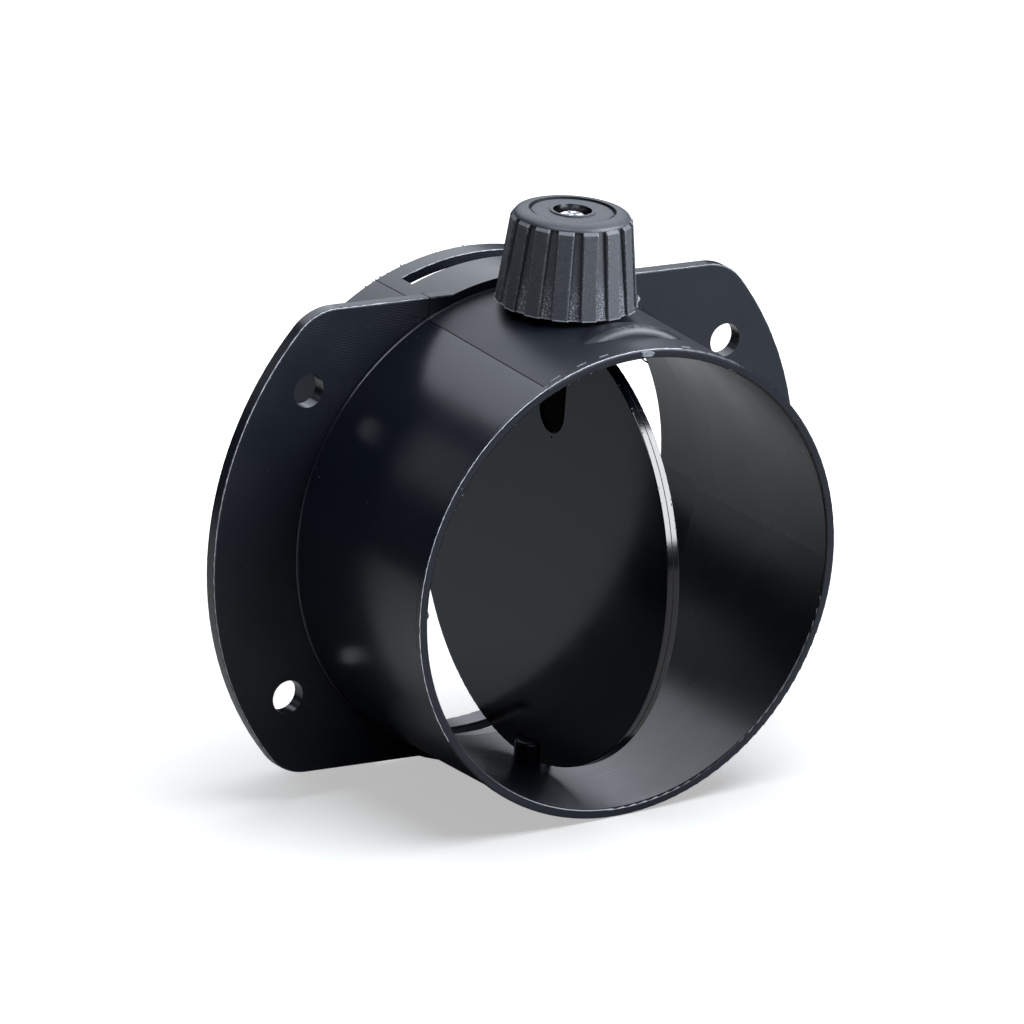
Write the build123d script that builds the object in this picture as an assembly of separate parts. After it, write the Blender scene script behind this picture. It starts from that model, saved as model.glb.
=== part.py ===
from build123d import *
import math
import os

# Duct connector with a butterfly valve, for a 90 mm warm-air duct.
# Millimetres. X is across, +Y is towards the duct behind the panel, +Z is up, towards the knob.
# The origin is on the duct axis, on the flange's rear face, which lies against the panel.
# The valve is drawn open, its disc along the duct; it turns a quarter turn about the upright axis.

# Spigot, the open tube in front of the flange; it tapers towards the rim for release from the mould.
BORE_RADIUS = 43.2
SPIGOT_LENGTH = 41.5
RIM_WALL = 1.4
ROOT_WALL = 2.3
BEAD_PROUD = 0.4
BEAD_WIDTH = 1.5
RIM_ROUND = 0.35
ROOT_ROUND = 0.4

# Collar, the wider ring behind the flange, with a clip slot at the top and at the bottom.
COLLAR_STEP = 1.9
COLLAR_WALL = 1.8
COLLAR_LENGTH = 16.0
COLLAR_ROUND = 0.5
SLOT_LENGTH = 35.6
SLOT_WIDTH = 3.7
SLOT_LAND = 4.6

# Flange: a round plate cut level with flats at the top and bottom, leaving two ears.
FLANGE_THICKNESS = 2.8
EAR_REACH = 16.0
FLAT_DROP = 2.6
EAR_CORNER = 10.0
EAR_ROUND = 0.4
HOLE_RADIUS = 3.2
HOLE_INSET = 9.2
HOLE_ANGLE = 33.0

# Half-dome pad that the mould's top slide leaves near the rim.
PAD_SETBACK = 8.0
PAD_SIDE = 1.9
PAD_HEIGHT = 1.9
PAD_SPHERE = 20.0
PAD_ROUND = 1.5

# Valve axis, bearing boss and the pivot post on the floor of the bore.
VALVE_OFFSET = 14.0
BOSS_HEIGHT = 3.8
BOSS_RADIUS = 6.4
POST_RADIUS = 3.5
POST_HEIGHT = 4.5
POST_ROUND = 0.8
RUNNING_CLEARANCE = 0.05
POST_CLEARANCE = 0.1

# Disc, with a pocket in each face for the prongs of the spindle.
DISC_CLEARANCE = 1.2
DISC_THICKNESS = 2.6
DISC_ROUND = 0.2
POCKET_WIDTH = 8.4
POCKET_DEPTH = 0.8
POCKET_END_GAP = 0.6
NOTCH_HEAD_ROOM = 0.3

# Spindle: a round bar, forked over the disc below and flattened for the knob above.
SPINDLE_RADIUS = 3.2
FORK_LENGTH = 20.5
FORK_ROOT_GAP = 0.2
PRONG_THICKNESS = 0.5
FORK_CHAMFER = 1.4
FLAT_DEPTH = 0.8
SPINDLE_TOP_CHAMFER = 0.4

# Knob: a ribbed cone with a ring groove and a screw well in its top.
KNOB_GAP = 0.8
KNOB_HEIGHT = 17.6
KNOB_BASE_RADIUS = 13.07
KNOB_LEDGE_RADIUS = 11.25
KNOB_LEDGE_DROP = 1.2
KNOB_SHOULDER = 2.4
RIB_COUNT = 15
RIB_WIDTH = 3.0
RIB_ROUND = 0.25
RIB_START = 16.0
RIB_PROUD_BASE = 0.5
RIB_PROUD_LEDGE = 0.9
CAP_OVERHANG = 0.4
KNOB_WALL = 1.9
KNOB_ROOF = 2.6
HUB_RADIUS = 5.8
HUB_CLEARANCE = 0.3
GROOVE_RADIUS = 8.05
GROOVE_WIDTH = 0.6
GROOVE_DEPTH = 0.7
FACE_RECESS = 0.3
LIP_WIDTH = 0.6
LIP_HEIGHT = 0.25
WELL_RADIUS = 3.6
WELL_DEPTH = 2.4
WELL_FLOOR = 2.5

# Screw that holds the knob on the spindle.
SCREW_RADIUS = 1.45
SCREW_LENGTH = 11.0
SCREW_TIP = 1.2
SCREW_HEAD_RADIUS = 3.0
SCREW_HEAD_HEIGHT = 1.9
SCREW_HEAD_ROUND = 1.5
SCREW_CLEARANCE = 0.05
RECESS_WIDTH = 0.9
RECESS_SPAN = 3.4
RECESS_DEPTH = 1.0

# How close two lengths lie to count as the same.
NEAR = 0.01

# Places that follow from the sizes above.
spigot_root = BORE_RADIUS + ROOT_WALL
spigot_end = BORE_RADIUS + RIM_WALL
flange_front = -FLANGE_THICKNESS
rim = flange_front - SPIGOT_LENGTH
collar_radius = spigot_root + COLLAR_STEP
collar_bore = collar_radius - COLLAR_WALL
flange_radius = collar_radius + EAR_REACH
flat_height = collar_radius - FLAT_DROP
hole_circle = flange_radius - HOLE_INSET
hole_x = hole_circle * math.cos(math.radians(HOLE_ANGLE))
hole_z = hole_circle * math.sin(math.radians(HOLE_ANGLE))


def spigot_radius(y):
    """Outside radius of the tapered spigot at a place along the duct."""
    return spigot_root + (spigot_end - spigot_root) * (flange_front - y) / SPIGOT_LENGTH


axis_y = flange_front - VALVE_OFFSET
crown = spigot_radius(axis_y)
boss_top = crown + BOSS_HEIGHT
post_top = -BORE_RADIUS + POST_HEIGHT
disc_radius = BORE_RADIUS - DISC_CLEARANCE
web_thickness = DISC_THICKNESS - 2 * POCKET_DEPTH
fork_end = disc_radius - FORK_LENGTH
knob_base = crown + KNOB_GAP
knob_top = knob_base + KNOB_HEIGHT
knob_ledge = knob_top - KNOB_LEDGE_DROP
knob_face = knob_top - FACE_RECESS
well_floor = knob_face - WELL_DEPTH
spindle_top = well_floor - WELL_FLOOR
hub_base = boss_top + HUB_CLEARANCE
valve_axis = Pos(0, axis_y, 0)


def turned(points, axis):
    """Solid turned about an axis from a closed outline of (radius, height) points."""
    plane = Plane.XY if axis == Axis.Y else Plane.XZ
    return revolve(plane * make_face(Polyline(*points, close=True)), axis)


def circles_at(solid, radius, along, place):
    """Circular edges of one radius at one place along an axis."""
    rings = solid.edges().filter_by(GeomType.CIRCLE)
    rings = rings.filter_by_position(along, place - NEAR, place + NEAR)
    return [ring for ring in rings if abs(ring.radius - radius) < NEAR]


def make_tube():
    """Spigot with its rim bead, and the wider collar, turned as one shell."""
    bead_radius = spigot_radius(rim) + BEAD_PROUD
    bead_back = rim + BEAD_WIDTH
    outline = [
        (BORE_RADIUS, rim),
        (bead_radius, rim),
        (bead_radius, bead_back),
        (spigot_radius(bead_back), bead_back),
        (spigot_root, flange_front),
        (collar_radius, flange_front),
        (collar_radius, COLLAR_LENGTH),
        (collar_bore, COLLAR_LENGTH),
        (collar_bore, 0),
        (BORE_RADIUS, 0),
    ]
    tube = turned(outline, Axis.Y)
    rim_edges = circles_at(tube, BORE_RADIUS, Axis.Y, rim)
    rim_edges += circles_at(tube, bead_radius, Axis.Y, rim)
    rim_edges += circles_at(tube, bead_radius, Axis.Y, bead_back)
    tube = fillet(rim_edges, RIM_ROUND)
    tube = fillet(circles_at(tube, spigot_root, Axis.Y, flange_front), ROOT_ROUND)
    collar_edges = circles_at(tube, collar_radius, Axis.Y, COLLAR_LENGTH)
    collar_edges += circles_at(tube, collar_bore, Axis.Y, COLLAR_LENGTH)
    return fillet(collar_edges, COLLAR_ROUND)


def make_flange():
    """Plate with two ears, four screw holes and the opening of the duct."""
    plate = Circle(flange_radius) & Rectangle(2 * flange_radius, 2 * flat_height)
    plate = fillet(plate.vertices(), EAR_CORNER)
    ears = extrude(Plane.XZ * plate, FLANGE_THICKNESS)
    outer_edges = ears.edges().filter_by_position(Axis.Y, flange_front, flange_front)
    outer_edges += ears.edges().filter_by_position(Axis.Y, 0, 0)
    ears = fillet(outer_edges, EAR_ROUND)
    openings = Circle(spigot_root)
    for side in (-1, 1):
        for level in (-1, 1):
            openings += Pos(side * hole_x, level * hole_z) * Circle(HOLE_RADIUS)
    return ears - extrude(Plane.XZ * openings, FLANGE_THICKNESS)


def make_slots():
    """Cutters of the two clip slots in the collar."""
    middle = COLLAR_LENGTH - SLOT_LAND - SLOT_WIDTH / 2
    slot = Box(SLOT_LENGTH, SLOT_WIDTH, collar_radius)
    return [Pos(0, middle, side * collar_radius) * slot for side in (-1, 1)]


def make_pad():
    """Half of a shallow dome on top of the spigot, upright in front with a rounded edge."""
    front = rim + PAD_SETBACK
    centre = spigot_radius(front) + PAD_HEIGHT - PAD_SPHERE
    ball = Pos(PAD_SIDE, front, centre) * Sphere(PAD_SPHERE)
    behind = Pos(PAD_SIDE, front + PAD_SPHERE, centre + PAD_SPHERE)
    half = ball & behind * Box(2 * PAD_SPHERE, 2 * PAD_SPHERE, 2 * PAD_SPHERE)
    front_edges = half.edges().filter_by(GeomType.CIRCLE).filter_by_position(Axis.Y, front, front)
    half = fillet(front_edges, PAD_ROUND)
    return half - bore_filling()


def bore_filling():
    """Solid that fills the bore, for trimming what is set on the wall."""
    inside = BORE_RADIUS + RIM_WALL / 2
    return Pos(0, (rim + COLLAR_LENGTH) / 2, 0) * Rot(X=90) * Cylinder(inside, COLLAR_LENGTH - rim)


def make_body():
    """The moulded connector: tube, flange, pad, bearing boss and pivot post in one piece."""
    boss = valve_axis * Pos(0, 0, boss_top / 2) * Cylinder(BOSS_RADIUS, boss_top) - bore_filling()
    post_length = spigot_radius(axis_y) - RIM_WALL / 2 + post_top
    post = valve_axis * Pos(0, 0, post_top - post_length / 2) * Cylinder(POST_RADIUS, post_length)
    post = fillet(circles_at(post, POST_RADIUS, Axis.Z, post_top), POST_ROUND)
    body = make_tube() + make_flange() + make_pad() + boss + post
    for slot in make_slots():
        body -= slot
    hole = Cylinder(SPINDLE_RADIUS + RUNNING_CLEARANCE, boss_top)
    return body - valve_axis * Pos(0, 0, BORE_RADIUS / 2 + boss_top / 2) * hole


def make_disc():
    """Round plate in the open place, with prong pockets above and a notch for the post below."""
    plate = Circle(disc_radius)
    notch_width = 2 * (POST_RADIUS + POST_CLEARANCE)
    notch_top = post_top + NOTCH_HEAD_ROOM
    notch_height = disc_radius + notch_top
    plate -= Pos(0, -disc_radius + notch_height / 2) * Rectangle(notch_width, notch_height)
    disc = extrude(Plane.YZ * plate, DISC_THICKNESS / 2, both=True)
    rims = [edge for edge in disc.edges().filter_by(GeomType.CIRCLE) if edge.length > disc_radius]
    disc = fillet(rims, DISC_ROUND)
    pocket_end = fork_end - POCKET_END_GAP + POCKET_WIDTH / 2
    pocket = Pos(0, pocket_end) * Circle(POCKET_WIDTH / 2)
    pocket += Pos(0, (pocket_end + BORE_RADIUS) / 2) * Rectangle(POCKET_WIDTH, BORE_RADIUS - pocket_end)
    for side in (-1, 1):
        floor = Plane.YZ.offset(side * web_thickness / 2)
        disc -= extrude(floor * pocket, side * DISC_THICKNESS)
    return valve_axis * disc


def make_spindle():
    """Round bar with two flat prongs over the web of the disc, a flat for the knob and a pilot hole."""
    length = spindle_top - fork_end
    bar = Pos(0, 0, fork_end + length / 2) * Cylinder(SPINDLE_RADIUS, length)
    bar = chamfer(circles_at(bar, SPINDLE_RADIUS, Axis.Z, fork_end), FORK_CHAMFER)
    bar = chamfer(circles_at(bar, SPINDLE_RADIUS, Axis.Z, spindle_top), SPINDLE_TOP_CHAMFER)
    slit_root = disc_radius + FORK_ROOT_GAP
    slit_height = slit_root - fork_end
    fork = Pos(0, 0, fork_end + slit_height / 2)
    bar -= fork * Box(web_thickness, 2 * SPINDLE_RADIUS, slit_height)
    prong_face = web_thickness / 2 + PRONG_THICKNESS
    for side in (-1, 1):
        beside = Pos(side * (prong_face + SPINDLE_RADIUS / 2), 0, 0)
        bar -= fork * beside * Box(SPINDLE_RADIUS, 2 * SPINDLE_RADIUS, slit_height)
    flat_length = spindle_top - hub_base
    flat = Box(2 * SPINDLE_RADIUS, FLAT_DEPTH, flat_length)
    bar -= Pos(0, SPINDLE_RADIUS - FLAT_DEPTH / 2, spindle_top - flat_length / 2) * flat
    pilot_depth = SCREW_LENGTH - WELL_FLOOR + SCREW_TIP
    pilot = Cylinder(SCREW_RADIUS + SCREW_CLEARANCE, pilot_depth)
    bar -= Pos(0, 0, spindle_top - pilot_depth / 2) * pilot
    return valve_axis * bar


def knob_core_radius(z):
    """Radius of the cone between the ribs."""
    base = KNOB_BASE_RADIUS - RIB_PROUD_BASE
    top = KNOB_LEDGE_RADIUS - RIB_PROUD_LEDGE
    return base + (top - base) * (z - knob_base) / (knob_ledge - knob_base)


def stands_out(point):
    """Whether a point on a side of the first rib lies outside the cone."""
    return abs(point.Y) > NEAR and point.X > knob_core_radius(point.Z) + NEAR


def make_knob():
    """Hollow cone with straight ribs under a domed cap, a keyed hub, a ring groove and a screw well."""
    valley_top = knob_core_radius(knob_ledge)
    cap_radius = valley_top + CAP_OVERHANG
    cone = turned(
        [
            (0, knob_base),
            (knob_core_radius(knob_base), knob_base),
            (valley_top, knob_ledge),
            (0, knob_ledge),
        ],
        Axis.Z,
    )
    shoulder = cap_radius - KNOB_SHOULDER
    cap_outline = EllipticalCenterArc((shoulder, knob_ledge), KNOB_SHOULDER, KNOB_LEDGE_DROP)
    cap_outline += Polyline(
        (shoulder, knob_top),
        (0, knob_top),
        (0, knob_ledge),
        (cap_radius, knob_ledge),
    )
    core = cone + revolve(Plane.XZ * make_face(cap_outline), Axis.Z)
    rib_outline = Polyline(
        (knob_core_radius(knob_base) - RIB_PROUD_BASE, knob_base),
        (KNOB_BASE_RADIUS, knob_base),
        (KNOB_LEDGE_RADIUS, knob_ledge - (KNOB_LEDGE_RADIUS - cap_radius)),
        (cap_radius, knob_ledge),
        (valley_top - RIB_PROUD_LEDGE, knob_ledge),
        close=True,
    )
    rib = extrude(Plane.XZ * make_face(rib_outline), RIB_WIDTH / 2, both=True)
    crests = [edge for edge in rib.edges() if stands_out(edge.center())]
    rib = fillet(crests, RIB_ROUND)
    pitch = 360 / RIB_COUNT
    for index in range(RIB_COUNT):
        core += Rot(Z=RIB_START + index * pitch) * rib
    roof = knob_top - KNOB_ROOF
    hollow = turned(
        [
            (HUB_RADIUS, knob_base),
            (knob_core_radius(knob_base) - KNOB_WALL, knob_base),
            (knob_core_radius(roof) - KNOB_WALL, roof),
            (HUB_RADIUS, roof),
        ],
        Axis.Z,
    )
    groove_inner = GROOVE_RADIUS - GROOVE_WIDTH
    lip_radius = WELL_RADIUS + LIP_WIDTH
    lip_top = knob_face + LIP_HEIGHT
    face = turned(
        [
            (0, knob_face),
            (WELL_RADIUS, lip_top),
            (lip_radius, lip_top),
            (lip_radius, knob_face),
            (groove_inner, knob_face),
            (groove_inner, knob_top - GROOVE_DEPTH),
            (GROOVE_RADIUS, knob_top - GROOVE_DEPTH),
            (GROOVE_RADIUS, knob_top),
            (0, knob_top),
        ],
        Axis.Z,
    )
    well = Pos(0, 0, (well_floor + knob_top) / 2) * Cylinder(WELL_RADIUS, knob_top - well_floor)
    under_hub = Pos(0, 0, (knob_base + hub_base) / 2) * Cylinder(HUB_RADIUS, hub_base - knob_base)
    socket_length = spindle_top - hub_base
    bore = SPINDLE_RADIUS + RUNNING_CLEARANCE
    socket = Cylinder(bore, socket_length)
    key = Box(2 * bore, FLAT_DEPTH, socket_length)
    socket -= Pos(0, bore - FLAT_DEPTH / 2, 0) * key
    socket = Pos(0, 0, (spindle_top + hub_base) / 2) * socket
    screw_hole = Cylinder(SCREW_RADIUS + SCREW_CLEARANCE, WELL_FLOOR)
    screw_hole = Pos(0, 0, (spindle_top + well_floor) / 2) * screw_hole
    return valve_axis * (core - hollow - face - well - under_hub - socket - screw_hole)


def make_screw():
    """Pan-head screw with a cross recess, seated in the knob's well."""
    head = Pos(0, 0, SCREW_HEAD_HEIGHT / 2) * Cylinder(SCREW_HEAD_RADIUS, SCREW_HEAD_HEIGHT)
    head = fillet(circles_at(head, SCREW_HEAD_RADIUS, Axis.Z, SCREW_HEAD_HEIGHT), SCREW_HEAD_ROUND)
    for angle in (0, 90):
        bar = Rot(Z=angle) * Box(RECESS_SPAN, RECESS_WIDTH, RECESS_DEPTH)
        head -= Pos(0, 0, SCREW_HEAD_HEIGHT - RECESS_DEPTH / 2) * bar
    shank = turned(
        [
            (0, 0),
            (SCREW_RADIUS, 0),
            (SCREW_RADIUS, SCREW_TIP - SCREW_LENGTH),
            (0, -SCREW_LENGTH),
        ],
        Axis.Z,
    )
    return valve_axis * Pos(0, 0, well_floor) * (head + shank)


pieces = {
    "duct_body": make_body(),
    "damper_disc": make_disc(),
    "spindle": make_spindle(),
    "knob": make_knob(),
    "knob_screw": make_screw(),
}

os.makedirs("parts", exist_ok=True)
for name, shape in pieces.items():
    export_step(shape, f"parts/{name}.step")
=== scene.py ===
import math
import random

import bmesh
import bpy
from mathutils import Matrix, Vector


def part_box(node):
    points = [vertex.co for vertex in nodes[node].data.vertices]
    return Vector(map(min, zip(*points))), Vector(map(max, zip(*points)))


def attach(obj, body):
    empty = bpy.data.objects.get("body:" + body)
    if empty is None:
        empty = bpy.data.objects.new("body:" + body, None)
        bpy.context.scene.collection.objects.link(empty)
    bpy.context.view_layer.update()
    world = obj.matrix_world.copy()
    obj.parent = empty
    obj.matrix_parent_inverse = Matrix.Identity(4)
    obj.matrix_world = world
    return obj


# Duct connector with a butterfly valve, in black moulded plastic, on a white floor.
# Metres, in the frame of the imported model: +Y points into the duct behind the panel, +Z up to the knob.

MM = 0.001

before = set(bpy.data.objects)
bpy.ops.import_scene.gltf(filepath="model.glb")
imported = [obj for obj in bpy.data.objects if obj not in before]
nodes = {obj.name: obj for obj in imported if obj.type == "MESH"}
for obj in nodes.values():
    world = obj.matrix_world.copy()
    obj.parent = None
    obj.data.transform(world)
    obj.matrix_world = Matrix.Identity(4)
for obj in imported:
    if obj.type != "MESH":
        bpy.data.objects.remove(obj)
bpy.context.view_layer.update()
scene = bpy.context.scene
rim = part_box("duct_body")[0][1]
collar_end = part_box("duct_body")[1][1]

# Camera, fitted to the photograph.
CAMERA_AZIMUTH = -33.609
CAMERA_ELEVATION = 17.873
CAMERA_ROLL = math.radians(4.158)
CAMERA_DISTANCE = 2.5
CAMERA_LENS = 478.1
CAMERA_SENSOR = 36.0
CAMERA_TARGET = Vector((0.0, -17.8, 0.0)) * MM
CAMERA_SLIDE = -7.215 * MM
CAMERA_RISE = 5.44 * MM
CAMERA_REACH = 20.0

# The object leans on one ear, so the floor is tilted under it.
FLOOR_LEAN = math.radians(3.4)
FLOOR_PITCH = math.radians(3.3)
FLOOR_RADIUS = 0.6
FLOOR_SIDES = 96
FLOOR_COLOUR = (0.8, 0.8, 0.8, 1.0)
FLOOR_GLOW = 0.46
# Where the floor's shading gives way to plain white, as distances from the object's middle.
SHADE_NEAR = 80.0 * MM
SHADE_FAR = 190.0 * MM

# Lights: azimuth and elevation in degrees, distance and width in metres, brightness as radiance.
LIGHT_TINT = (0.86, 0.91, 1.0)
KEY_LIGHT = {"azimuth": 45, "elevation": 32, "distance": 1.2, "width": 1.1, "radiance": 22.0}
BACK_LIGHT = {"azimuth": 158, "elevation": 52, "distance": 1.0, "width": 1.35, "radiance": 2.6}
FILL_LIGHT = {"azimuth": -62, "elevation": 57, "distance": 1.0, "width": 0.62, "radiance": 11.5}
FLOOR_TINT = (0.93, 0.97, 1.0)
FLOOR_LIGHT = {
    "azimuth": 30, "elevation": 84, "distance": 0.8, "width": 0.9, "radiance": 4.3, "tint": FLOOR_TINT,
}
BACKDROP = (1.0, 1.0, 1.0, 1.0)
ROOM = 0.03
# Soft glows of the room: the wall behind, and a paler corner that shows through the left ear's hole.
ROOM_GLOWS = (
    {"azimuth": 168, "elevation": 38, "core": 25, "reach": 70, "radiance": 0.08},
    {"azimuth": -147, "elevation": 21, "core": 5, "reach": 11, "radiance": 0.6},
)

# Sizes of the moulding that its marks and seams follow.
BORE_RADIUS = 43.2 * MM
BORE_LIMIT = 43.65 * MM
CROWN_INSIDE = 44.3 * MM
TUBE_LIMIT = 46.2 * MM
SPIGOT_ROOT = 45.5 * MM
SPIGOT_END = 44.6 * MM
BEAD_RADIUS = 45.0 * MM
BEAD_BACK = -42.8 * MM
COLLAR_RADIUS = 47.4 * MM
SLOT_REAR = 11.4 * MM
SLOT_HALF = 17.8 * MM
FLANGE_FRONT = -2.8 * MM
FLAT_HEIGHT = 44.8 * MM
EAR_RADIUS = 63.4 * MM
EAR_ARC = math.radians(34)
EAR_CORNER = 10.0 * MM
EAR_ROUND = 0.4 * MM
RIM_ROUND = 0.35 * MM
AXIS_Y = -16.8 * MM
POST_REACH = 3.6 * MM
POST_TOP = -34.0 * MM
DISC_RADIUS = 42.0 * MM
DISC_HALF = 1.3 * MM
KNOB_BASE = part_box("knob")[0][2]
KNOB_HEIGHT = 17.6 * MM
KNOB_LEDGE = 16.4 * MM
GROOVE_RADIUS = 8.05 * MM
GROOVE_INNER = 7.45 * MM
STEP_RADIUS = 7.0 * MM
WELL_RADIUS = 3.6 * MM
KNOB_CORE_BASE = 12.57 * MM
KNOB_CORE_SLOPE = -0.1354
RIB_REACH = 13.07 * MM
RIB_HALF_WIDTH = 1.5 * MM
RIB_COUNT = 15
RIB_START = math.radians(16)

# Tool lines on the ears; they wander by so many radians.
LINE_SLOPE = math.radians(15)
LINE_PITCH = 0.5 * MM
LINE_WANDER = 9.0

# Places, in mm, of flash behind the rim's bead and of the torn gate with its hair, as (x, z) or (x, y, z).
BEAD_FLASH = (-18.4, -13.0, -8.3, 9.5)
GATE_OUTLINE = ((-1.4, 44.7), (-0.4, 44.8), (1.2, 44.6), (1.9, 44.2), (1.5, 43.6), (0.2, 43.4), (-1.2, 43.6))
GATE_MIDDLE = (0.2, 44.1)
GATE_HAIR = ((-1.2, 0.1, 43.7), (-0.5, -0.1, 43.0), (0.3, -0.1, 42.5))

# Parting lines that the mould's top slide leaves on both sides of the crown.
SEAM_SIDE = 20.6 * MM
SEAM_WIDTH = 0.24 * MM
SEAM_HEIGHT = 0.05 * MM
RIDGE_SECTION = ((-0.5, -0.6), (-0.22, 1.0), (0.22, 1.0), (0.5, -0.6))

# Colours.
BLACK = (0.0029, 0.0039, 0.0068, 1.0)
DISC_BLACK = (0.0004, 0.0006, 0.0014, 1.0)
DISC_SHEEN = (0.7, 0.83, 1.0, 1.0)
EDGE_SHEEN = (1.0, 0.96, 0.9, 1.0)
WORN = (0.035, 0.037, 0.042, 1.0)
# Pale of dust specks and of torn plastic; on burrs and flash it is partly a painted glint.
PALE_FLECK = (0.14, 0.145, 0.155, 1.0)
# Pale of flash lines, a painted highlight along the edges they follow.
FLASH_PAINTED_HIGHLIGHT = (0.34, 0.35, 0.37, 1.0)
KNOB_GREY = (0.0235, 0.0255, 0.0295, 1.0)
# Painted shade on the knob: its ring groove, the line inside its step and the feet of its ribs.
KNOB_PAINTED_SHADE = (0.008, 0.009, 0.011, 1.0)
# Pale of the knob's speckle, and a painted highlight on the rib tops.
KNOB_SPECKLE_AND_HIGHLIGHT = (0.13, 0.135, 0.145, 1.0)
# Painted shade inside the knob's screw well.
WELL_PAINTED_SHADE = (0.001, 0.0012, 0.0015, 1.0)
ZINC = (0.78, 0.79, 0.81, 1.0)

chance = random.Random(7)


def direction(azimuth, elevation):
    """Unit vector from the object; azimuth 0 is in front, 90 is +X."""
    turn = math.radians(azimuth)
    climb = math.radians(elevation)
    return Vector((
        math.sin(turn) * math.cos(climb),
        -math.cos(turn) * math.cos(climb),
        math.sin(climb),
    ))


# Camera, lights and floor.

def make_camera():
    """Camera of the photograph: a long lens, rolled a little."""
    back = direction(CAMERA_AZIMUTH, CAMERA_ELEVATION)
    level = Vector((0, 0, 1)).cross(back).normalized()
    upright = back.cross(level)
    across = math.cos(CAMERA_ROLL) * level + math.sin(CAMERA_ROLL) * upright
    up = math.cos(CAMERA_ROLL) * upright - math.sin(CAMERA_ROLL) * level
    data = bpy.data.cameras.new("camera")
    data.lens = CAMERA_LENS
    data.sensor_width = CAMERA_SENSOR
    data.clip_end = CAMERA_REACH
    camera = bpy.data.objects.new("camera", data)
    scene.collection.objects.link(camera)
    place = CAMERA_TARGET + CAMERA_DISTANCE * back + CAMERA_SLIDE * across + CAMERA_RISE * up
    matrix = camera.matrix_world
    for row in range(3):
        matrix[row][0] = across[row]
        matrix[row][1] = up[row]
        matrix[row][2] = back[row]
        matrix[row][3] = place[row]
    camera.matrix_world = matrix
    scene.camera = camera


def make_light(name, azimuth, elevation, distance, width, radiance, tint=LIGHT_TINT):
    """Round soft light that faces the object."""
    data = bpy.data.lights.new(name, "AREA")
    data.shape = "DISK"
    data.size = width
    data.color = tint
    data.energy = radiance * math.pi * math.pi * width * width / 4
    light = bpy.data.objects.new(name, data)
    towards = direction(azimuth, elevation)
    light.location = CAMERA_TARGET + distance * towards
    light.rotation_mode = "QUATERNION"
    light.rotation_quaternion = towards.to_track_quat("Z", "Y")
    light.visible_camera = False
    scene.collection.objects.link(light)
    return light


def link_light(light, thing, state):
    """Lets a light fall only on a thing (INCLUDE), or on all but that thing (EXCLUDE)."""
    group = bpy.data.collections.new(light.name + "_receivers")
    group.objects.link(thing)
    group.collection_objects[0].light_linking.link_state = state
    light.light_linking.receiver_collection = group


def make_world():
    """White backdrop for the camera, and a dim room with soft glows for all that the plastic mirrors."""
    world = bpy.data.worlds.new("studio")
    world.use_nodes = True
    scene.world = world
    tree = world.node_tree
    new = tree.nodes.new
    link = tree.links.new
    outlook = new("ShaderNodeTexCoord").outputs["Generated"]
    seen = new("ShaderNodeLightPath").outputs["Is Camera Ray"]
    level = None
    for glow in ROOM_GLOWS:
        toward = new("ShaderNodeVectorMath")
        toward.operation = "DOT_PRODUCT"
        link(outlook, toward.inputs[0])
        toward.inputs[1].default_value = direction(glow["azimuth"], glow["elevation"])
        lobe = new("ShaderNodeMapRange")
        lobe.interpolation_type = "SMOOTHSTEP"
        link(toward.outputs["Value"], lobe.inputs["Value"])
        lobe.inputs["From Min"].default_value = math.cos(math.radians(glow["reach"]))
        lobe.inputs["From Max"].default_value = math.cos(math.radians(glow["core"]))
        lobe.inputs["To Max"].default_value = glow["radiance"]
        total = new("ShaderNodeMath")
        link(lobe.outputs["Result"], total.inputs[0])
        total.inputs[1].default_value = ROOM
        if level:
            link(level, total.inputs[1])
        level = total.outputs[0]
    strength = new("ShaderNodeMix")
    link(seen, strength.inputs[0])
    link(level, strength.inputs[2])
    strength.inputs[3].default_value = 1.0
    colour = new("ShaderNodeMix")
    colour.data_type = "RGBA"
    link(seen, colour.inputs[0])
    colour.inputs[6].default_value = (*LIGHT_TINT, 1.0)
    colour.inputs[7].default_value = BACKDROP
    background = tree.nodes["Background"]
    link(colour.outputs[2], background.inputs["Color"])
    link(strength.outputs[0], background.inputs["Strength"])


def make_floor():
    """Round white floor under the leaning object, touching its lowest point."""
    up = Vector((-math.sin(FLOOR_LEAN), math.sin(FLOOR_PITCH), 1.0)).normalized()
    lowest = min(up.dot(v.co) for node in nodes.values() for v in node.data.vertices)
    bpy.ops.mesh.primitive_circle_add(vertices=FLOOR_SIDES, radius=FLOOR_RADIUS, fill_type="NGON")
    floor = bpy.context.object
    floor.name = "floor"
    floor.rotation_mode = "QUATERNION"
    floor.rotation_quaternion = up.to_track_quat("Z", "Y")
    floor.location = up * lowest
    paint = Finish("floor_white", FLOOR_COLOUR, roughness=0.9, specular=0.0)
    paint.shader.inputs["Emission Color"].default_value = BACKDROP
    seen = paint.tree.nodes.new("ShaderNodeLightPath").outputs["Is Camera Ray"]
    x, y, _ = paint.parts(paint.place)
    reach = paint.span(x, y)
    plain = paint.times(paint.band(reach, SHADE_NEAR, SHADE_FAR), 1 - FLOOR_GLOW)
    paint.feed("Emission Strength", paint.times(seen, paint.plus(plain, FLOOR_GLOW)))
    floor.data.materials.append(paint.material)
    return floor


# Materials.

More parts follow.
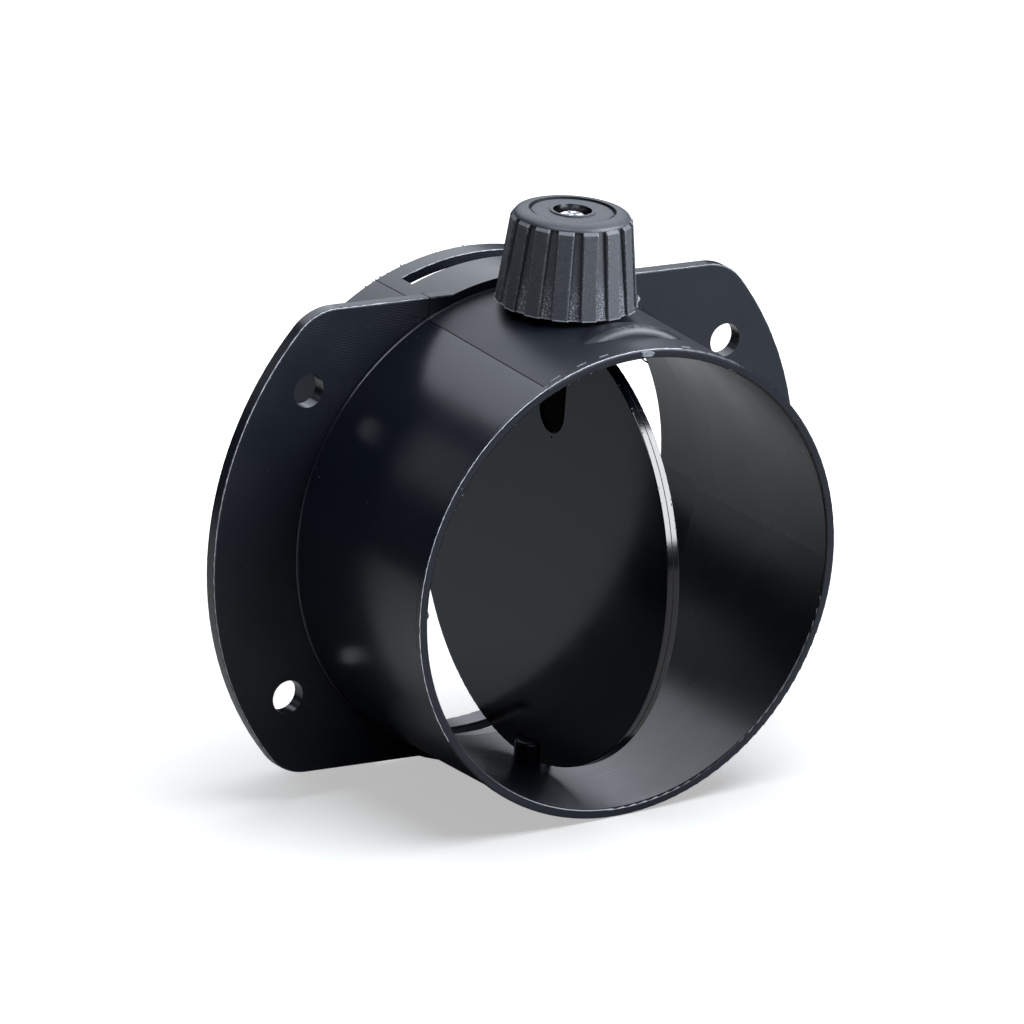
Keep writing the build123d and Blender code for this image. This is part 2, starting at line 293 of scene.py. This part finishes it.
class Finish:
    """A material's node tree, with short calls for the nodes that the finishes are made of."""

    def __init__(self, name, colour, roughness, specular=0.32, metallic=0.0):
        self.material = bpy.data.materials.new(name)
        self.material.use_nodes = True
        self.tree = self.material.node_tree
        self.shader = self.tree.nodes["Principled BSDF"]
        self.shader.inputs["Base Color"].default_value = colour
        self.shader.inputs["Roughness"].default_value = roughness
        self.shader.inputs["Specular IOR Level"].default_value = specular
        self.shader.inputs["Metallic"].default_value = metallic
        coordinates = self.tree.nodes.new("ShaderNodeTexCoord")
        self.place = coordinates.outputs["Object"]
        self.facing = coordinates.outputs["Normal"]

    def node(self, kind, inputs, output=0, **settings):
        """New node with its settings and inputs; an input is a value or another node's output."""
        node = self.tree.nodes.new(kind)
        for name, value in settings.items():
            setattr(node, name, value)
        for key, value in inputs.items():
            if isinstance(value, bpy.types.NodeSocket):
                self.tree.links.new(value, node.inputs[key])
            else:
                node.inputs[key].default_value = value
        return node.outputs[output]

    def math(self, operation, first, second=0.0):
        return self.node("ShaderNodeMath", {0: first, 1: second}, operation=operation)

    def times(self, *values):
        product = values[0]
        for value in values[1:]:
            product = self.math("MULTIPLY", product, value)
        return product

    def plus(self, *values):
        total = values[0]
        for value in values[1:]:
            total = self.math("ADD", total, value)
        return total

    def parts(self, vector):
        """The three coordinates of a vector."""
        split = self.node("ShaderNodeSeparateXYZ", {0: vector}).node
        return [split.outputs[index] for index in range(3)]

    def band(self, value, start, end):
        """0 before start and 1 past end, smooth between them; start may lie above end."""
        inputs = {"Value": value, "From Min": start, "From Max": end}
        return self.node("ShaderNodeMapRange", inputs, interpolation_type="SMOOTHSTEP")

    def stretched(self, factors):
        """The place on the object, with each coordinate multiplied."""
        return self.node("ShaderNodeVectorMath", {0: self.place, 1: factors}, operation="MULTIPLY")

    def noise(self, scale, detail=2.0, place=None):
        """Cloudy noise from 0 to 1, with scale patches to a metre."""
        inputs = {"Vector": place or self.place, "Scale": scale, "Detail": detail}
        return self.node("ShaderNodeTexNoise", inputs)

    def blend(self, factor, first, second):
        """Colour between two colours."""
        return self.node("ShaderNodeMix", {0: factor, 6: first, 7: second}, output=2, data_type="RGBA")

    def span(self, first, second):
        """Distance from an axis, from the two coordinates across it."""
        return self.math("SQRT", self.plus(self.times(first, first), self.times(second, second)))

    def feed(self, socket, value):
        self.tree.links.new(value, self.shader.inputs[socket])

    def colour(self, value):
        self.feed("Base Color", value)

    def rough(self, value):
        self.feed("Roughness", value)

    def gloss(self, value):
        self.feed("Specular IOR Level", value)

    def raise_by(self, height):
        """Fine relief, as a height in metres."""
        relief = self.node("ShaderNodeBump", {"Strength": 1.0, "Distance": 1.0, "Height": height})
        self.feed("Normal", relief)


def body_finish():
    """Glossy black plastic: satin crown, tooled ears, streaked bore and rubbed edges, with painted shade
    darkening the inside of the bore.
    """
    finish = Finish("body_plastic", BLACK, 0.25)
    x, y, z = finish.parts(finish.place)
    forward = finish.math("MULTIPLY", finish.parts(finish.facing)[1], -1.0)
    radius = finish.span(x, z)
    beyond_tube = finish.band(radius, TUBE_LIMIT - 0.2 * MM, TUBE_LIMIT + 0.2 * MM)
    ear = finish.times(finish.band(forward, 0.9, 0.97), beyond_tube)
    edge = finish.times(
        finish.band(forward, 0.1, 0.3), finish.band(forward, 0.97, 0.85), beyond_tube
    )
    bore = finish.band(radius, BORE_LIMIT + 0.25 * MM, BORE_LIMIT - 0.25 * MM)
    sideways = finish.math("ABSOLUTE", x)
    left = finish.plus(0.25, finish.times(finish.band(x, 0.0, -10.0 * MM), 0.75))
    crown = finish.times(
        finish.band(sideways, SEAM_SIDE + 0.1 * MM, SEAM_SIDE - 0.1 * MM),
        finish.band(z, 0.0, 1.0 * MM),
        finish.band(radius, CROWN_INSIDE - 0.1 * MM, CROWN_INSIDE + 0.1 * MM),
        finish.band(y, FLANGE_FRONT, FLANGE_FRONT - 0.1 * MM),
    )
    patches = finish.noise(90.0, 4.0)
    specks = finish.noise(1800.0, 3.0)
    grain = finish.noise(5000.0, 2.0)
    peel = finish.noise(700.0, 1.0)
    streaks = finish.noise(1.0, 3.0, finish.stretched((40.0, 2600.0, 40.0)))
    across = finish.plus(finish.times(x, math.sin(LINE_SLOPE)), finish.times(z, math.cos(LINE_SLOPE)))
    wander = finish.times(finish.noise(60.0), LINE_WANDER)
    turns = finish.plus(finish.times(across, 2 * math.pi / LINE_PITCH), wander)
    lines = finish.math("SINE", turns)
    dust = finish.band(finish.noise(2400.0, 0.0), 0.87, 0.9)
    rubbed = finish.blend(finish.times(edge, finish.band(specks, 0.4, 0.62)), BLACK, WORN)
    # Painted shade: the inside of the bore is made darker, towards the disc's black.
    rubbed_and_bore_shade = finish.blend(finish.times(bore, 0.7), rubbed, DISC_BLACK)
    finish.colour(finish.blend(finish.times(dust, 0.6), rubbed_and_bore_shade, PALE_FLECK))
    depth = finish.plus(y, -AXIS_Y)
    aside = finish.span(x, depth)
    post = finish.times(
        finish.band(aside, POST_REACH + 0.4 * MM, POST_REACH), finish.band(z, POST_TOP + 0.5 * MM, POST_TOP)
    )
    finish.gloss(finish.plus(0.32, finish.times(post, -0.24)))
    finish.rough(finish.plus(
        0.17,
        finish.times(patches, 0.13),
        finish.times(crown, 0.2),
        finish.times(ear, 0.12),
        finish.times(edge, 0.1),
        finish.times(bore, streaks, 0.14),
    ))
    finish.raise_by(finish.plus(
        finish.times(peel, 3.0e-6),
        finish.times(grain, crown, 7.0e-6),
        finish.times(lines, ear, left, finish.band(patches, 0.2, 0.7), 7.0e-6),
        finish.times(streaks, bore, 4.0e-6),
        finish.times(specks, edge, 60.0e-6),
    ))
    return finish.material


def disc_finish():
    """Satin black plastic, with faint clouding and a glossier edge."""
    finish = Finish("disc_plastic", DISC_BLACK, 0.25)
    _, y, z = finish.parts(finish.place)
    radius = finish.span(finish.plus(y, -AXIS_Y), z)
    edge = finish.band(radius, DISC_RADIUS - 0.15 * MM, DISC_RADIUS - 0.05 * MM)
    finish.feed("Specular Tint", finish.blend(edge, DISC_SHEEN, EDGE_SHEEN))
    finish.gloss(finish.plus(0.25, finish.times(edge, 0.2)))
    clouds = finish.noise(120.0, 4.0)
    finish.rough(finish.plus(0.09, finish.times(clouds, 0.08)))
    finish.raise_by(finish.times(finish.noise(900.0, 2.0), 3.0e-6))
    return finish.material


def spindle_finish():
    """Dull black plastic."""
    finish = Finish("spindle_plastic", DISC_BLACK, 0.45, specular=0.01)
    finish.rough(finish.plus(0.5, finish.times(finish.noise(300.0, 3.0), 0.15)))
    finish.raise_by(finish.times(finish.noise(2500.0, 2.0), 5.0e-6))
    return finish.material


def knob_finish():
    """Fine-grained matte plastic, coarser low down between the ribs, with painted shade in the top's ring
    groove, inside its step, at the feet of the ribs and in the screw well, and a painted highlight on the
    rib tops.
    """
    finish = Finish("knob_plastic", KNOB_GREY, 0.45, specular=0.32)
    x, y, z = finish.parts(finish.place)
    depth = finish.plus(y, -AXIS_Y)
    radius = finish.span(x, depth)
    height = finish.plus(z, -KNOB_BASE)
    core = finish.plus(finish.times(height, KNOB_CORE_SLOPE), KNOB_CORE_BASE)
    proud = finish.math("SUBTRACT", radius, core)
    valley = finish.times(
        finish.band(proud, 0.3 * MM, 0.12 * MM), finish.band(height, 8.0 * MM, 2.5 * MM)
    )
    pitch = 2 * math.pi / RIB_COUNT
    turn = finish.plus(finish.math("ARCTAN2", depth, x), -RIB_START)
    place = finish.math("FRACT", finish.plus(finish.times(turn, 1 / pitch), 0.5))
    off_rib = finish.times(finish.plus(place, -0.5), pitch)
    aside = finish.math("ABSOLUTE", finish.times(finish.math("SINE", off_rib), radius))
    on_side = finish.band(height, KNOB_LEDGE, KNOB_LEDGE - 0.4 * MM)
    crest = finish.times(
        finish.band(aside, RIB_HALF_WIDTH - 0.5 * MM, RIB_HALF_WIDTH - 0.2 * MM),
        finish.band(proud, 0.25 * MM, 0.4 * MM),
        on_side,
    )
    # Painted shade: a dark strip at the foot of each rib's sides, in the corner with the valley floor.
    foot = finish.times(
        finish.band(aside, RIB_HALF_WIDTH + 0.45 * MM, RIB_HALF_WIDTH + 0.05 * MM),
        finish.band(proud, 0.4 * MM, 0.25 * MM),
        on_side,
    )
    grain = finish.noise(2600.0, 3.0)
    fine = finish.noise(3600.0, 1.0)
    # Painted highlight: the sloped tops of the ribs are made paler, evenly, without noise.
    painted_bevel_highlight = finish.times(
        finish.band(height, KNOB_LEDGE - 0.7 * MM, KNOB_LEDGE - 0.5 * MM),
        finish.band(height, KNOB_LEDGE + 0.05 * MM, KNOB_LEDGE),
        finish.band(proud, 0.1 * MM, 0.3 * MM),
    )
    speckle = finish.plus(finish.times(valley, 0.8), finish.times(crest, 0.3), 0.1)
    pale = finish.plus(finish.times(finish.band(fine, 0.5, 0.62), speckle), finish.times(painted_bevel_highlight, 0.3))
    # Painted shade: the wall of the screw well is made near black; its lower roughness is a real gloss.
    well = finish.times(
        finish.band(radius, WELL_RADIUS + 0.1 * MM, WELL_RADIUS + 0.05 * MM),
        finish.band(height, 0.8 * KNOB_HEIGHT, 0.85 * KNOB_HEIGHT),
    )
    # Painted shade: the ring groove in the top face is darkened.
    painted_shade_ring = finish.times(
        finish.band(radius, GROOVE_INNER - 0.1 * MM, GROOVE_INNER - 0.05 * MM),
        finish.band(radius, GROOVE_RADIUS + 0.1 * MM, GROOVE_RADIUS + 0.05 * MM),
        finish.band(height, KNOB_LEDGE, KNOB_LEDGE + 0.2 * MM),
    )
    grey = finish.blend(pale, KNOB_GREY, KNOB_SPECKLE_AND_HIGHLIGHT)
    grey = finish.blend(finish.times(foot, 0.6), grey, KNOB_PAINTED_SHADE)
    # Painted shade: a dark line just inside the step on the top face, where the raised edge hides the face
    # beyond it.
    step = finish.times(
        finish.band(radius, STEP_RADIUS - 0.15 * MM, STEP_RADIUS - 0.05 * MM),
        finish.band(radius, STEP_RADIUS + 0.15 * MM, STEP_RADIUS + 0.05 * MM),
        finish.band(height, KNOB_LEDGE, KNOB_LEDGE + 0.2 * MM),
    )
    grey = finish.blend(finish.plus(painted_shade_ring, finish.times(step, 0.6)), grey, KNOB_PAINTED_SHADE)
    finish.colour(finish.blend(well, grey, WELL_PAINTED_SHADE))
    finish.rough(finish.plus(0.34, finish.times(grain, 0.24), finish.times(well, -0.28)))
    finish.raise_by(finish.plus(
        finish.times(grain, 20.0e-6),
        finish.times(fine, 16.0e-6),
        finish.times(fine, valley, 60.0e-6),
    ))
    return finish.material


def screw_finish():
    """Bright zinc plating."""
    finish = Finish("screw_steel", ZINC, 0.2, specular=0.5, metallic=1.0)
    finish.rough(finish.plus(0.28, finish.times(finish.noise(1500.0, 3.0), 0.12)))
    return finish.material


def torn_and_glint_finish():
    """Pale stressed plastic of flash, burrs and the gate, its paleness partly a painted glint where these
    small pieces catch the light.
    """
    finish = Finish("torn_plastic_painted_glint", PALE_FLECK, 0.5)
    mottle = finish.noise(3000.0, 2.0)
    finish.colour(finish.blend(mottle, WORN, PALE_FLECK))
    finish.rough(finish.plus(0.35, finish.times(mottle, 0.25)))
    return finish.material


def flash_highlight_finish():
    """Broken film of flash along a sharp edge, painted pale as a highlight along that edge."""
    finish = Finish("flash_painted_highlight", FLASH_PAINTED_HIGHLIGHT, 0.4)
    broken = finish.band(finish.noise(700.0, 4.0), 0.3, 0.7)
    finish.colour(finish.blend(broken, PALE_FLECK, FLASH_PAINTED_HIGHLIGHT))
    return finish.material


def seam_finish():
    """Dull black of a parting line."""
    finish = Finish("seam_plastic", DISC_BLACK, 0.6, specular=0.1)
    finish.rough(finish.plus(0.5, finish.times(finish.noise(800.0, 2.0), 0.2)))
    return finish.material


def dress(node, material):
    mesh = nodes[node].data
    mesh.materials.clear()
    mesh.materials.append(material)


# Marks of the mould, as geometry on the surfaces of the CAD nodes.

def add_piece(name, mesh_builder, material, body):
    """Object made of a finished bmesh, riding on a body."""
    bmesh.ops.recalc_face_normals(mesh_builder, faces=mesh_builder.faces)
    mesh = bpy.data.meshes.new(name)
    mesh_builder.to_mesh(mesh)
    mesh_builder.free()
    mesh.materials.append(material)
    piece = bpy.data.objects.new(name, mesh)
    scene.collection.objects.link(piece)
    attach(piece, body)


def add_ridge(builder, path, width, height):
    """Low ridge along a path of (point, normal) pairs, sunk a little into the surface."""
    rings = []
    for index, (point, normal) in enumerate(path):
        before = path[max(index - 1, 0)][0]
        after = path[min(index + 1, len(path) - 1)][0]
        side = (after - before).cross(normal).normalized()
        ring = [point + a * width * side + b * height * normal for a, b in RIDGE_SECTION]
        rings.append([builder.verts.new(corner) for corner in ring])
    count = len(RIDGE_SECTION)
    for near, far in zip(rings, rings[1:]):
        for k in range(count):
            builder.faces.new((near[k], near[(k + 1) % count], far[(k + 1) % count], far[k]))
    builder.faces.new(rings[0])
    builder.faces.new(rings[-1])


def add_chip(builder, place, normal, length, thickness):
    """Small ragged chip, half sunk in the surface."""
    side = normal.orthogonal().normalized()
    along = normal.cross(side)
    turn = chance.uniform(0, 2 * math.pi)
    first = math.cos(turn) * side + math.sin(turn) * along
    second = normal.cross(first)
    reach = [
        first * length * chance.uniform(0.3, 0.7),
        second * thickness * chance.uniform(0.6, 1.2),
        -first * length * chance.uniform(0.3, 0.7),
        -second * thickness * chance.uniform(0.6, 1.2),
    ]
    ring = [builder.verts.new(place + arm) for arm in reach]
    top = builder.verts.new(place + normal * thickness * chance.uniform(0.5, 1.1))
    foot = builder.verts.new(place - normal * thickness)
    for k in range(4):
        builder.faces.new((ring[k], ring[(k + 1) % 4], top))
        builder.faces.new((ring[k], ring[(k + 1) % 4], foot))


def spigot_radius(y):
    """Outside radius of the tapered spigot."""
    return SPIGOT_ROOT + (SPIGOT_END - SPIGOT_ROOT) * (FLANGE_FRONT - y) / (FLANGE_FRONT - rim)


def round_point(x, y, radius):
    """Point on top of a round wall, with its outward normal."""
    z = math.sqrt(radius * radius - x * x)
    return Vector((x, y, z)), Vector((x, 0, z)).normalized()


def steps(start, end, count):
    return [start + (end - start) * index / count for index in range(count + 1)]


def make_seams(material):
    """Parting lines along the spigot, up the flange, over its top and along the collar, and a dark ring
    behind the rim's bead as painted shade at its step.
    """
    builder = bmesh.new()
    for side in (-SEAM_SIDE, SEAM_SIDE):
        spigot = [round_point(side, y, spigot_radius(y)) for y in steps(FLANGE_FRONT, BEAD_BACK, 12)]
        add_ridge(builder, spigot, SEAM_WIDTH, SEAM_HEIGHT)
        root = math.sqrt(SPIGOT_ROOT ** 2 - side ** 2)
        face = [(Vector((side, FLANGE_FRONT, z)), Vector((0, -1, 0))) for z in steps(root, FLAT_HEIGHT, 4)]
        add_ridge(builder, face, SEAM_WIDTH, SEAM_HEIGHT)
        top = [(Vector((side, y, FLAT_HEIGHT)), Vector((0, 0, 1))) for y in steps(FLANGE_FRONT, 0, 4)]
        add_ridge(builder, top, SEAM_WIDTH, SEAM_HEIGHT)
        collar = [round_point(side, y, COLLAR_RADIUS) for y in steps(0, collar_end, 8)]
        add_ridge(builder, collar, SEAM_WIDTH, SEAM_HEIGHT)
    # Painted shade: a dark ridge round the back of the bead stands for the shade at its step.
    behind_bead = BEAD_BACK + 0.12 * MM
    painted_shade_ring = []
    for turn in steps(0, 2 * math.pi, 180):
        outward = Vector((math.cos(turn), 0, math.sin(turn)))
        painted_shade_ring.append((outward * spigot_radius(behind_bead) + Vector((0, behind_bead, 0)), outward))
    add_ridge(builder, painted_shade_ring, SEAM_WIDTH, SEAM_HEIGHT)
    add_piece("parting_lines", builder, material, "housing")


def make_disc_seam(material):
    """Parting line round the middle of the disc's edge, apart from the notch and the spindle."""
    builder = bmesh.new()
    for start, end in ((-82, 82), (98, 262)):
        path = []
        for turn in steps(math.radians(start), math.radians(end), 80):
            normal = Vector((0, -math.cos(turn), math.sin(turn)))
            path.append((Vector((0, AXIS_Y, 0)) + DISC_RADIUS * normal, normal))
        add_ridge(builder, path, 0.22 * MM, 0.04 * MM)
    dot = Vector((-DISC_HALF, AXIS_Y - 0.5 * MM, 20.2 * MM))
    add_chip(builder, dot, Vector((-1, 0, 0)), 0.9 * MM, 0.3 * MM)
    add_piece("disc_parting_line", builder, material, "valve")


def make_knob_flash(material):
    """Thin uneven flash round the foot of the knob, over ribs and valleys."""
    builder = bmesh.new()
    pitch = 2 * math.pi / RIB_COUNT
    foot = Vector((0, AXIS_Y, KNOB_BASE + 0.12 * MM))
    path = []
    count = RIB_COUNT * 16
    for turn in steps(0, 2 * math.pi, count):
        off_rib = (turn - RIB_START + pitch / 2) % pitch - pitch / 2
        on_rib = abs(math.tan(off_rib) * RIB_REACH) < RIB_HALF_WIDTH
        reach = RIB_REACH / math.cos(off_rib) if on_rib else KNOB_CORE_BASE
        normal = Vector((math.cos(turn), math.sin(turn), 0))
        path.append((foot + normal * (reach + chance.uniform(-0.05, 0.03) * MM), normal))
    add_ridge(builder, path, 0.28 * MM, 0.12 * MM)
    add_piece("knob_flash", builder, material, "valve")


def make_burrs(material):
    """Specks and flash that the mould left along the edges of the body."""
    builder = bmesh.new()
    for side, count in ((-1, 34), (1, 16)):
        for _ in range(count):
            turn = chance.uniform(-EAR_ARC, EAR_ARC)
            outward = Vector((side * math.cos(turn), 0, math.sin(turn)))
            place = outward * (EAR_RADIUS - 0.2 * MM) + Vector((0, FLANGE_FRONT + 0.08 * MM, 0))
            normal = (outward + Vector((0, -1, 0))).normalized()
            size = chance.uniform(0.1, 0.3) ** 1.3 * MM
            add_chip(builder, place, normal, 2.2 * size, size)
    for x in BEAD_FLASH:
        half = chance.uniform(0.6, 1.0)
        path = [round_point(place * MM, BEAD_BACK, BEAD_RADIUS) for place in steps(x - half, x + half, 4)]
        add_ridge(builder, path, 0.13 * MM, 0.1 * MM)
    for _ in range(26):
        turn = chance.uniform(math.radians(60), math.radians(200))
        outward = Vector((math.cos(turn), 0, math.sin(turn)))
        place = outward * (BORE_RADIUS + 0.1 * MM) + Vector((0, rim + 0.1 * MM, 0))
        size = chance.uniform(0.06, 0.16) * MM
        add_chip(builder, place, (Vector((0, -1, 0)) - outward).normalized(), 3 * size, size)
    nick = Vector((-BORE_RADIUS, rim + 0.1 * MM, -0.8 * MM))
    add_chip(builder, nick, Vector((0.8, -0.6, 0)), 1.2 * MM, 0.3 * MM)
    add_piece("edge_burrs", builder, material, "housing")


def arc(centre_x, centre_z, radius, start, end, count):
    """Points (x, z, angle) along an arc in the plane of the flange."""
    turns = steps(start, end, count)
    return [(centre_x + radius * math.cos(t), centre_z + radius * math.sin(t), t) for t in turns]


def make_edge_lines(material):
    """Fine uneven flash along the front edges of both ears and round the outside of the rim; its pale colour
    is a painted highlight along these edges.
    """
    builder = bmesh.new()
    corner_reach = EAR_RADIUS - EAR_CORNER
    corner_z = FLAT_HEIGHT - EAR_CORNER
    corner_x = math.sqrt(corner_reach ** 2 - corner_z ** 2)
    bend = math.atan2(corner_z, corner_x)
    quarter = math.pi / 2
    outline = arc(corner_x, -corner_z, EAR_CORNER, -quarter, -bend, 16)
    outline += arc(0, 0, EAR_RADIUS, -bend, bend, 120)[1:]
    outline += arc(corner_x, corner_z, EAR_CORNER, bend, quarter, 16)[1:]
    outline += [(x, FLAT_HEIGHT, quarter) for x in steps(corner_x, SEAM_SIDE, 24)[1:]]
    slant = EAR_ROUND * (1 - math.sqrt(0.5))
    for side, width in ((-1, 0.17 * MM), (1, 0.09 * MM)):
        path = []
        for x, z, turn in outline:
            outward = Vector((side * math.cos(turn), 0, math.sin(turn)))
            drift = slant * chance.uniform(0.7, 1.5)
            place = Vector((side * x, FLANGE_FRONT + slant, z)) - outward * drift
            path.append((place, (outward + Vector((0, -1, 0))).normalized()))
        add_ridge(builder, path, width, 0.04 * MM)
    slant = RIM_ROUND * (1 - math.sqrt(0.5))
    path = []
    for turn in steps(math.radians(80), math.radians(215), 200):
        outward = Vector((math.cos(turn), 0, math.sin(turn)))
        drift = slant * chance.uniform(0.6, 1.3)
        place = outward * (BEAD_RADIUS - drift) + Vector((0, rim + slant, 0))
        path.append((place, (outward + Vector((0, -1, 0))).normalized()))
    add_ridge(builder, path, 0.16 * MM, 0.03 * MM)
    add_piece("edge_lines", builder, material, "housing")


def make_gate(material, hair_material):
    """Torn gate on top of the rim, with a hair of flash hanging from it."""
    builder = bmesh.new()
    back = [builder.verts.new((x * MM, rim + 0.2 * MM, z * MM)) for x, z in GATE_OUTLINE]
    middle = Vector((GATE_MIDDLE[0] * MM, 0, GATE_MIDDLE[1] * MM))
    front = []
    for x, z in GATE_OUTLINE:
        point = middle + (Vector((x * MM, 0, z * MM)) - middle) * chance.uniform(0.6, 0.85)
        front.append(builder.verts.new((point.x, rim - chance.uniform(0.2, 0.4) * MM, point.z)))
    count = len(GATE_OUTLINE)
    for k in range(count):
        builder.faces.new((back[k], back[(k + 1) % count], front[(k + 1) % count], front[k]))
    builder.faces.new(front)
    add_piece("gate_mark", builder, material, "housing")
    builder = bmesh.new()
    edge = Vector((0, rim, 0))
    hair = [(edge + Vector(place) * MM, Vector((0, -1, 0))) for place in GATE_HAIR]
    add_ridge(builder, hair, 0.3 * MM, 0.12 * MM)
    add_piece("gate_hair", builder, hair_material, "housing")


def make_valve_burrs(material):
    """Specks on the disc's upper edge and a flake at the foot of the knob."""
    builder = bmesh.new()
    for _ in range(14):
        turn = chance.uniform(math.radians(20), math.radians(60))
        normal = Vector((0, -math.cos(turn), math.sin(turn)))
        place = Vector((chance.choice((-0.8, 0.8)) * DISC_HALF, AXIS_Y, 0)) + normal * DISC_RADIUS
        size = chance.uniform(0.08, 0.22) * MM
        add_chip(builder, place, normal, 3 * size, size)
    outward = direction(CAMERA_AZIMUTH + 90, 0)
    flake = Vector((0, AXIS_Y, KNOB_BASE + 1.6 * MM)) + outward * RIB_REACH
    add_chip(builder, flake, outward, 2.4 * MM, 0.5 * MM)
    add_piece("valve_burrs", builder, material, "valve")


def make_slot_flash(material):
    """Flash along the rear edge of the collar's upper slot, and burrs on the collar's end, pale as a painted
    highlight.
    """
    builder = bmesh.new()
    path = []
    for x in steps(-SLOT_HALF, SLOT_HALF, 80):
        y = SLOT_REAR + chance.uniform(0.06, 0.14) * MM
        path.append(round_point(x, y, COLLAR_RADIUS))
    add_ridge(builder, path, 0.2 * MM, 0.05 * MM)
    for _ in range(9):
        x = chance.uniform(-34.0, 0.0) * MM
        place, normal = round_point(x, collar_end - 0.15 * MM, COLLAR_RADIUS)
        size = chance.uniform(0.12, 0.3) * MM
        add_chip(builder, place, normal, 2.5 * size, size)
    add_piece("slot_flash", builder, material, "housing")


make_camera()
make_world()
floor = make_floor()
link_light(make_light("back_light", **BACK_LIGHT), floor, "EXCLUDE")
link_light(make_light("key_light", **KEY_LIGHT), floor, "EXCLUDE")
link_light(make_light("fill_light", **FILL_LIGHT), floor, "EXCLUDE")
link_light(make_light("floor_light", **FLOOR_LIGHT), floor, "INCLUDE")
dress("duct_body", body_finish())
dress("damper_disc", disc_finish())
dress("spindle", spindle_finish())
dress("knob", knob_finish())
dress("knob_screw", screw_finish())
# Pale finish of burrs, flash and the gate: stressed plastic, and partly a painted glint.
torn = torn_and_glint_finish()
seam = seam_finish()
make_seams(seam)
make_disc_seam(seam)
make_knob_flash(torn)
make_burrs(torn)
# Flash lines in a pale finish that paints the highlight along sharp edges.
flash = flash_highlight_finish()
make_edge_lines(flash)
make_gate(torn, seam)
make_valve_burrs(torn)
make_slot_flash(flash)
scene.view_settings.view_transform = "Standard"
